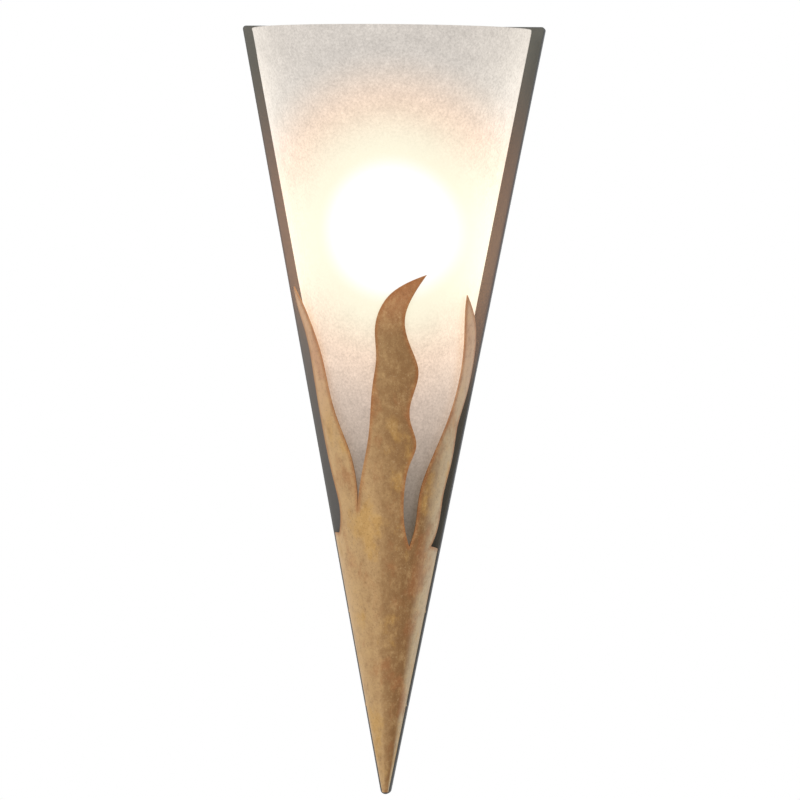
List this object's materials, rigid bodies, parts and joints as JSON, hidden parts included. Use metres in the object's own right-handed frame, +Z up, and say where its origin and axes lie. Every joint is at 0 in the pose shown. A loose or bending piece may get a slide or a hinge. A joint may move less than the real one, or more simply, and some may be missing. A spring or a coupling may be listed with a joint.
{
  "type": "wall sconce",
  "caption": "Torch-shaped wall sconce: a triangular steel back plate with a frosted glass half-cone standing in a gilt cup whose rim is cut into flames.",
  "frame": {"origin": "middle of the wall bracket's back face, on the wall's plane", "axes": "+X to the right as seen from the room, +Y into the wall, +Z up; the light faces -Y"},
  "size_m": [0.237, 0.1324, 0.5999],
  "materials": {
    "plate_paint": "satin grey paint",
    "gilt_sheet": "antique gold leaf, worn and toned",
    "shade_glass": "white, finely grained and frosted",
    "bulb_glass": "etched inside",
    "black_glass": "gloss",
    "zinc_steel": "bright zinc",
    "nickel": "nickel plated",
    "contact_brass": "bright",
    "bulb_metal": "bright",
    "tungsten": "drawn wire",
    "porcelain": "unglazed",
    "holder_plastic": "moulded",
    "block_plastic": "moulded",
    "silicone": "clear white",
    "black_rubber": "moulded",
    "live_insulation": "brown sleeve",
    "neutral_insulation": "blue sleeve",
    "earth_insulation": "green and yellow sleeve"
  },
  "bodies": {
    "sconce": {"back_plate": "plate_paint", "wall_bracket": "zinc_steel", "bracket_screws": "zinc_steel", "bracket_nuts": "zinc_steel", "plate_washers": "zinc_steel", "cap_nuts": "nickel", "flame_cup": "gilt_sheet", "cup_screws": "zinc_steel", "cup_nuts": "zinc_steel", "glass_rest": "plate_paint", "rest_rivets": "plate_paint", "rest_pads": "silicone", "flame_bumper": "silicone", "holder_bracket": "zinc_steel", "holder_bracket_screws": "zinc_steel", "holder_bracket_nuts": "zinc_steel", "threaded_tube": "zinc_steel", "tube_washer": "zinc_steel", "tube_nut": "zinc_steel", "lampholder_cap": "holder_plastic", "lampholder_skirt": "holder_plastic", "lampholder_insert": "porcelain", "screw_socket": "contact_brass", "centre_contact": "contact_brass", "terminal_block": "block_plastic", "terminal_tubes": "contact_brass", "terminal_screws": "zinc_steel", "terminal_fixings": "zinc_steel", "cable_grommet": "black_rubber", "earth_screw": "contact_brass", "earth_washer": "zinc_steel", "earth_tag": "contact_brass", "earth_nut": "contact_brass", "live_lead": "live_insulation", "neutral_lead": "neutral_insulation", "earth_lead": "earth_insulation"},
    "glass": {"glass_shade": "shade_glass"},
    "bulb": {"bulb_envelope": "bulb_glass", "bulb_stem": "bulb_glass", "bulb_filament": "tungsten", "bulb_cap": "bulb_metal", "bulb_insulator": "black_glass", "bulb_contact": "contact_brass"}
  },
  "joints": [
    {"name": "glass_lift", "type": "slide", "parent": "sconce", "child": "glass", "axis": [0, -0.2133, 0.977], "range_m": [0, 0.44]},
    {"name": "bulb_lift", "type": "slide", "parent": "sconce", "child": "bulb", "axis": [0, 0, 1], "range_m": [0, 0.25]}
  ]
}
